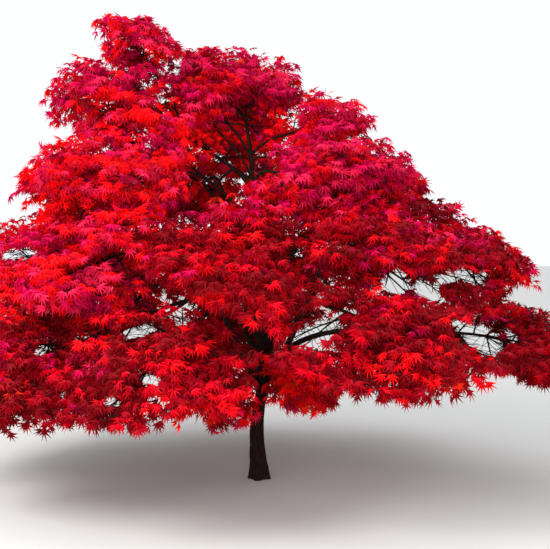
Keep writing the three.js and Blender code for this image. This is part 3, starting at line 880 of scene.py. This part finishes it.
def node(tree, kind, settings=(), **links):
    """Adds a node with its settings, its socket values and what feeds its sockets."""
    made = tree.nodes.new(kind)
    for name, value in dict(settings).items():
        if name in made.inputs:
            made.inputs[name].default_value = value
        else:
            setattr(made, name, value)
    for name, source in links.items():
        tree.links.new(source, made.inputs[name.replace("_", " ")])
    return made


def new_material(name):
    """An empty material and its node tree."""
    material = bpy.data.materials.new(name)
    material.use_nodes = True
    material.node_tree.nodes.clear()
    return material, material.node_tree


def set_stops(ramp, first, last):
    """Gives a colour ramp its two stops, each a position and a colour."""
    for stop, (position, colour) in zip(ramp.color_ramp.elements, (first, last)):
        stop.position, stop.color = position, colour


def bark_material(settings):
    """Old maple bark: dull brown-grey, finely furrowed up the stem, with paler lichen-grey flecks."""
    material, tree = new_material("maple bark")
    place = node(tree, "ShaderNodeTexCoord").outputs["Object"]
    # Furrows stand about 9 mm apart, drawn a little coarser than life so that they show, and run up the stem.
    upwards = node(tree, "ShaderNodeMapping", {"Scale": (1, 1, 0.22)}, Vector=place).outputs["Vector"]
    grain = {"Scale": METRE / BARK_GRAIN["furrows"], "Detail": 6.0, "Roughness": 0.62}
    furrows = node(tree, "ShaderNodeTexNoise", grain, Vector=upwards).outputs["Fac"]
    brown = node(tree, "ShaderNodeValToRGB", {}, Fac=furrows)
    set_stops(brown, (0.36, settings.bark_dark[:]), (0.68, settings.bark_light[:]))
    # Flecks of lichen and weathered grey are 30 to 60 mm across.
    grain = {"Scale": METRE / BARK_GRAIN["flecks"], "Detail": 4.0, "Roughness": 0.7}
    flecks = node(tree, "ShaderNodeTexNoise", grain, Vector=place).outputs["Fac"]
    grey = node(tree, "ShaderNodeValToRGB", {}, Fac=flecks)
    set_stops(grey, (0.52, (0, 0, 0, 1)), (0.7, (0.55, 0.55, 0.55, 1)))
    colour = node(tree, "ShaderNodeMix", {"data_type": "RGBA", "B": settings.bark_grey[:]})
    tree.links.new(grey.outputs["Color"], colour.inputs["Factor"])
    tree.links.new(brown.outputs["Color"], colour.inputs["A"])
    # The ridges are worn smoother than the furrows.
    rough = node(tree, "ShaderNodeMapRange", {"To Min": 0.95, "To Max": 0.7}, Value=furrows)
    bump = node(tree, "ShaderNodeBump", {"Strength": 0.7, "Distance": 0.004}, Height=furrows)
    shader = node(
        tree, "ShaderNodeBsdfPrincipled", {"IOR": PLANT_IOR, "Specular IOR Level": 0.12},
        Base_Color=colour.outputs["Result"], Roughness=rough.outputs["Result"], Normal=bump.outputs["Normal"],
    )
    node(tree, "ShaderNodeOutputMaterial", {}, Surface=shader.outputs["BSDF"])
    return material


def plain_material(name, colour, roughness, shine):
    """A finish whose colour is the same all over a leaf or a twig."""
    material, tree = new_material(name)
    values = {"Base Color": colour, "Roughness": roughness, "IOR": PLANT_IOR, "Specular IOR Level": shine}
    shader = node(tree, "ShaderNodeBsdfPrincipled", values)
    node(tree, "ShaderNodeOutputMaterial", {}, Surface=shader.outputs["BSDF"])
    return material


def ridge(along, turn, radius, settings):
    """Height of the bark above its middle surface: long ridges, shorter furrows and slow swellings."""
    round_way = Vector((math.cos(turn), math.sin(turn), 0)) * radius
    ridges = noise.noise((round_way + Vector((0, 0, along * RIDGES["stretch"]))) / settings.ridge_width * MM)
    furrowed = round_way + Vector((0, 0, along * FURROWS["stretch"]))
    furrows = noise.noise(furrowed / settings.ridge_width * MM * FURROWS["finer"])
    swelling = Vector((SWELLINGS["apart"], 0, along / SWELLINGS["along"]))
    swell = noise.noise(round_way / SWELLINGS["round"] + swelling)
    deep = min(settings.ridge_depth / MM, radius * RIDGES["deepest"])
    return deep * (ridges + FURROWS["depth"] * furrows) + radius * SWELLINGS["depth"] * swell


def bent_tube(bm, route, radius_at, sides, steps):
    """A cylinder bent along a route, with its radius from how far along and how far round it is."""
    bmesh.ops.create_cone(bm, cap_ends=True, segments=sides, radius1=1, radius2=1, depth=1)
    upright = [edge for edge in bm.edges if abs(edge.verts[0].co.z - edge.verts[1].co.z) > 0.5]
    bmesh.ops.subdivide_edges(bm, edges=upright, cuts=steps - 1)
    shares = np.linspace(0, 1, steps + 1)
    points, headings = route.point(shares), route.heading(shares)
    side = unit(np.cross(headings[0], ASKEW))
    frames = []
    for heading in headings:
        side = unit(side - heading * (side @ heading))
        frames.append((side, np.cross(heading, side)))
    for corner in bm.verts:
        ring = round((corner.co.z + 0.5) * steps)
        turn = math.atan2(corner.co.y, corner.co.x)
        radius = radius_at(shares[ring], turn)
        side, across = frames[ring]
        corner.co = (points[ring] + (side * math.cos(turn) + across * math.sin(turn)) * radius) * MM


def closed_mesh(name, bm):
    """The finished mesh of a bmesh of closed tubes, smooth and with its faces outwards."""
    bmesh.ops.recalc_face_normals(bm, faces=bm.faces)
    mesh = bpy.data.meshes.new(name)
    bm.to_mesh(mesh)
    bm.free()
    mesh.polygons.foreach_set("use_smooth", np.full(len(mesh.polygons), True))
    return mesh


def shared_material(name, make):
    """The material of that name, made the first time that it is asked for."""
    return bpy.data.materials.get(name) or make()


def colour_setting(name, description, colour):
    """A colour that a user may change, from an sRGB hex colour."""
    return FloatVectorProperty(
        name=name, description=description, size=4, subtype="COLOR", default=linear(colour), min=0.0, max=1.0,
    )


def length_setting(name, description, default, least, most):
    """A length in metres that a user may change."""
    return FloatProperty(
        name=name, description=description, default=default, min=least, max=most, subtype="DISTANCE",
    )


class MapleBarkSettings(bpy.types.PropertyGroup):
    """Sizes and colours of the bark."""

    ridge_depth: length_setting("Ridge depth", "Height of the bark's ridges on the trunk", 0.0035, 0.0, 0.01)
    ridge_width: length_setting("Ridge width", "Distance between the bark's ridges", 0.016, 0.004, 0.08)
    bark_dark: colour_setting("Furrows", "Colour in the furrows", "#0a0504")
    bark_light: colour_setting("Ridges", "Colour on the ridges", "#2b1711")
    bark_grey: colour_setting("Weathered", "Colour of weathered flecks", "#33251f")
    twig_colour: colour_setting("Twigs", "Colour of the older twigs", "#24140f")
    shoot_colour: colour_setting("Shoots", "Colour of the young shoots", "#5c1216")


class MapleLeafSettings(bpy.types.PropertyGroup):
    """Sizes and pose of the leaves."""

    leaf_length: length_setting(
        "Leaf length", "Middle lobe of a leaf, from the end of its stalk to its tip", 0.059, 0.03, 0.12,
    )
    stalk_length: length_setting("Stalk length", "Length of a leaf's stalk", 0.028, 0.005, 0.08)
    hang: FloatProperty(
        name="Hang", description="How far the blades hang down", default=0.95, min=0.0, max=2.0,
    )


class MapleTintSettings(bpy.types.PropertyGroup):
    """The autumn tints of the leaves, one colour each, among them a painted glow and a painted shade."""

    __annotations__ = {
        name: colour_setting(name.capitalize(), f"Colour of the {name} leaves", colour)
        for name, colour in TINTS.items()
    }


class MapleStudioSettings(bpy.types.PropertyGroup):
    """The camera's place, the light and the floor."""

    camera_distance: length_setting(
        "Camera distance", "From the camera to the trunk", float(-EYE[1] * MM), 2.0, 30.0,
    )
    camera_height: length_setting(
        "Camera height", "Height of the camera above the ground", float(EYE[2] * MM), 0.1, 6.0,
    )
    lens: FloatProperty(
        name="Lens", description="Focal length in millimetres", default=66.5, min=20.0, max=200.0,
    )
    world_strength: FloatProperty(
        name="Surrounding light", description="Strength of the light from all round",
        default=1.25, min=0.0, max=5.0,
    )
    world_colour: colour_setting("Light's colour", "Colour of the light from all round", "#e6eaef")
    floor_colour: colour_setting("Floor", "Colour of the floor", "#d9d7d2")


class MAPLE_OT_trunk(bpy.types.Operator):
    """Make the trunk with its root flare and the relief of its bark"""

    bl_idname = "maple.trunk"
    bl_label = "Trunk"

    def execute(self, context):
        settings = context.scene.maple_bark

        def radius_at(share, turn):
            height = TRUNK_ROUTE.point(share)[2]
            fade = math.exp(-max(height, 0) / FLARE["height"])
            flute = FLARE["depth"] * fade * math.cos(FLARE["lobes"] * turn + FLARE["turn"])
            radius = trunk_radius(height) * (1 + flute)
            return radius + ridge(share * TRUNK_ROUTE.length, turn, radius, settings)

        bm = bmesh.new()
        bent_tube(bm, TRUNK_ROUTE, radius_at, TRUNK_MESH["sides"], TRUNK_MESH["rings"])
        # The stem runs on below the ground, where it is cut flat and closed.
        cut = bmesh.ops.bisect_plane(
            bm, geom=bm.verts[:] + bm.edges[:] + bm.faces[:], plane_co=(0, 0, 0), plane_no=(0, 0, 1),
            clear_inner=True,
        )
        rim = [made for made in cut["geom_cut"] if isinstance(made, bmesh.types.BMEdge)]
        bmesh.ops.edgeloop_fill(bm, edges=rim)
        material = shared_material("maple bark", lambda: bark_material(settings))
        object_of("trunk_bark", closed_mesh("trunk_bark", bm), [material], "bark", "trunk")
        return {"FINISHED"}


class MAPLE_OT_boughs(bpy.types.Operator):
    """Make the boughs, the limbs and the stems that lead on into the foliage"""

    bl_idname = "maple.boughs"
    bl_label = "Boughs"

    def execute(self, context):
        settings = context.scene.maple_bark
        material = shared_material("maple bark", lambda: bark_material(settings))
        for limb in LIMBS:
            detail = BOUGH_MESH if limb.size["base"] > THICK else LIMB_MESH
            bm = bmesh.new()

            def radius_at(share, turn, limb=limb):
                radius = limb.radius_at(share)
                beyond = max(0.0, share - limb.hidden) * limb.route.length
                collar = 1 + COLLAR["thicker"] * math.exp(-beyond / (COLLAR["length"] * limb.size["base"]))
                return radius * collar + ridge(share * limb.route.length, turn, radius, settings)

            rings = round(limb.route.length / detail["apart"])
            bent_tube(bm, limb.route, radius_at, detail["sides"], rings)
            object_of(limb.name + "_bark", closed_mesh(limb.name, bm), [material], "bark", limb.name)
        bm = bmesh.new()
        stems = [(mass.stem, float(mass.on.radius_at(1.0)), STEM["tip"]) for mass in MASSES]
        for route, base, tip in stems + fan_stems():
            one = bmesh.new()

            def radius_at(share, turn, route=route, base=base, tip=tip):
                radius = between(base, tip, share)
                return radius + ridge(share * route.length, turn, radius, settings)

            rings = max(STEM_MESH["fewest"], round(route.length / STEM_MESH["apart"]))
            bent_tube(one, route, radius_at, STEM_MESH["sides"], rings)
            part = bpy.data.meshes.new("stem")
            one.to_mesh(part)
            one.free()
            bm.from_mesh(part)
            bpy.data.meshes.remove(part)
        object_of("leading_stems", closed_mesh("leading_stems", bm), [material], "bark")
        return {"FINISHED"}


class MAPLE_OT_foliage(bpy.types.Operator):
    """Grow the twigs and leaves of every mass on from its limb"""

    bl_idname = "maple.foliage"
    bl_label = "Foliage"

    def execute(self, context):
        scene = context.scene
        bark, settings = scene.maple_bark, scene.maple_leaves
        # Autumn leaves are thin and nearly matt, with a faint sheen that keeps their red deep.
        colours = {name: getattr(scene.maple_tints, name)[:] for name in TINTS}
        tints = [plain_material("maple leaf " + name, colours[name], *LEAF_FINISH) for name in TINTS]
        # Older twigs are dark and dull, and this year's shoots are red and a little glossy.
        twig_bark = plain_material("maple twig", bark.twig_colour[:], *TWIG_FINISH)
        shoot = plain_material("young maple shoot", bark.shoot_colour[:], *SHOOT_FINISH)
        pattern, fan = leaf_pattern(), fan_stems()
        for mass in MASSES:
            random, chance = seeded(mass.seed), np.random.default_rng(mass.seed)
            main_lines, (base, way, reach) = twigs_of(mass, fan, random)
            grown = leaf_twigs(base, way, reach, chance)
            ends = grown[0] + grown[1] * grown[2][:, None]
            lit = in_light(ends)
            kept = lit | (chance.random(len(ends)) < LIGHT["shade_share"])
            underside = UNDERSIDE.get(mass.name.split("_")[1], UNDERSIDE["others"])
            kept &= in_space(mass, ends, TWIG_EDGE) & ~in_opening(ends) & in_box(ends)
            kept &= mass.shares(ends)[:, 2] > underside
            if not kept.any():
                raise RuntimeError(mass.name + " grew no leaves")
            start, direction, length, numbers, ends, lit = (value[kept] for value in (*grown, ends, lit))
            # Tints are dealt by where a spray stands in the crown, which paints light and shade into the
            # leaves' colour.
            own = np.array([tint_of(end, random) for end in ends])
            shared = np.array([tint_of(place, random) for place in base])[numbers]
            spray_tints = np.where(chance.random(len(ends)) < OWN_TINTS, own, shared)

            posed = leaves_on(mass, start, direction, length, lit, settings, chance)
            bases, along, scale = posed[1], posed[3], posed[5][:, None]
            tips = bases + along * scale
            keep = ~in_opening(tips) & clear_of_wood(bases, OFF_WOOD) & in_space(mass, bases, LEAF_EDGE)
            keep &= in_box(bases, scale * BLADE["half_width"]) & in_box(tips)
            leaf_tints = np.tile(spray_tints, 2 * len(LEAF_PAIRS))
            leaf_mesh = mesh_of("leaves", [leaf_mesh_parts(pattern, posed, leaf_tints, keep)], False)
            short = mass.name.removeprefix("foliage_")
            object_of("leaves_" + short, leaf_mesh, tints, "leaves", mass.name)

            shares = np.linspace(0, 1, MAIN_TUBE["points"])
            main_lines = np.stack([line.point(shares) for line in main_lines])
            one = np.unique(numbers)
            side_lines = drooping(base[one], way[one], reach[one], SIDE_TWIG["droop"], SIDE_TUBE["points"])
            twig_mesh = mesh_of("twigs", [
                tubes(main_lines, MAIN_TUBE, 0),
                tubes(side_lines, SIDE_TUBE, 0),
                tubes(np.stack([start, ends], axis=1), LEAF_TUBE, 1),
            ], True)
            object_of("twigs_" + short, twig_mesh, [twig_bark, shoot], "leaves", mass.name)
        return {"FINISHED"}


class MAPLE_OT_studio(bpy.types.Operator):
    """Set up the pale floor, the soft light and the camera at the photograph's angle"""

    bl_idname = "maple.studio"
    bl_label = "Studio"

    def execute(self, context):
        scene, settings = context.scene, context.scene.maple_studio
        # Matt painted board gives a soft shadow and no reflection.
        material, tree = new_material("pale studio floor")
        finish = {"Base Color": settings.floor_colour[:], "Roughness": FLOOR["roughness"]}
        shader = node(tree, "ShaderNodeBsdfPrincipled", finish)
        node(tree, "ShaderNodeOutputMaterial", {}, Surface=shader.outputs["BSDF"])
        bm = bmesh.new()
        bmesh.ops.create_grid(bm, x_segments=1, y_segments=1, size=FLOOR["half"])
        mesh = bpy.data.meshes.new("floor")
        bm.to_mesh(mesh)
        bm.free()
        mesh.materials.append(material)
        floor = bpy.data.objects.new("floor", mesh)
        floor.location = (0, 0, -FLOOR["drop"])
        scene.collection.objects.link(floor)
        world = bpy.data.worlds.new("studio")
        world.use_nodes = True
        background = world.node_tree.nodes["Background"]
        background.inputs["Color"].default_value = settings.world_colour[:]
        background.inputs["Strength"].default_value = settings.world_strength
        scene.world = world
        for name, place, size, power in LAMPS:
            lamp = bpy.data.lights.new(name, "AREA")
            lamp.size = size
            lamp.energy = power
            light = bpy.data.objects.new(name, lamp)
            light.location = place
            aim = Vector(LAMP_AIM) - Vector(place)
            light.rotation_euler = aim.to_track_quat("-Z", "Y").to_euler()
            scene.collection.objects.link(light)
        lens = bpy.data.cameras.new("camera")
        lens.lens = settings.lens
        camera = bpy.data.objects.new("camera", lens)
        camera.location = (EYE[0] * MM, -settings.camera_distance, settings.camera_height)
        camera.rotation_euler = (math.radians(90 - CAMERA_DIP), 0, 0)
        scene.collection.objects.link(camera)
        scene.camera = camera
        scene.view_settings.view_transform = "Standard"
        return {"FINISHED"}


class MAPLE_PT_panel(bpy.types.Panel):
    """Lists the pieces of the tree"""

    bl_idname = "MAPLE_PT_panel"
    bl_label = "Autumn Maple"
    bl_space_type = "VIEW_3D"
    bl_region_type = "UI"
    bl_category = "Maple"

    def draw(self, context):
        layout = self.layout
        for operator in OPERATORS:
            layout.operator(operator.bl_idname)
        for group in SETTINGS:
            box = layout.box()
            settings = getattr(context.scene, group)
            for name in settings.__annotations__:
                box.prop(settings, name)


OPERATORS = (MAPLE_OT_trunk, MAPLE_OT_boughs, MAPLE_OT_foliage, MAPLE_OT_studio)
SETTINGS = {
    "maple_bark": MapleBarkSettings,
    "maple_leaves": MapleLeafSettings,
    "maple_tints": MapleTintSettings,
    "maple_studio": MapleStudioSettings,
}
CLASSES = (*SETTINGS.values(), *OPERATORS, MAPLE_PT_panel)


def register():
    """Adds the settings, operators and panel."""
    for made in CLASSES:
        bpy.utils.register_class(made)
    for name, settings in SETTINGS.items():
        setattr(bpy.types.Scene, name, PointerProperty(type=settings))


def unregister():
    """Takes them away again."""
    for name in SETTINGS:
        delattr(bpy.types.Scene, name)
    for made in reversed(CLASSES):
        bpy.utils.unregister_class(made)


def main():
    """Makes the whole tree and its studio."""
    register()
    bpy.ops.maple.trunk()
    bpy.ops.maple.boughs()
    bpy.ops.maple.foliage()
    bpy.ops.maple.studio()


if __name__ == "__main__":
    main()
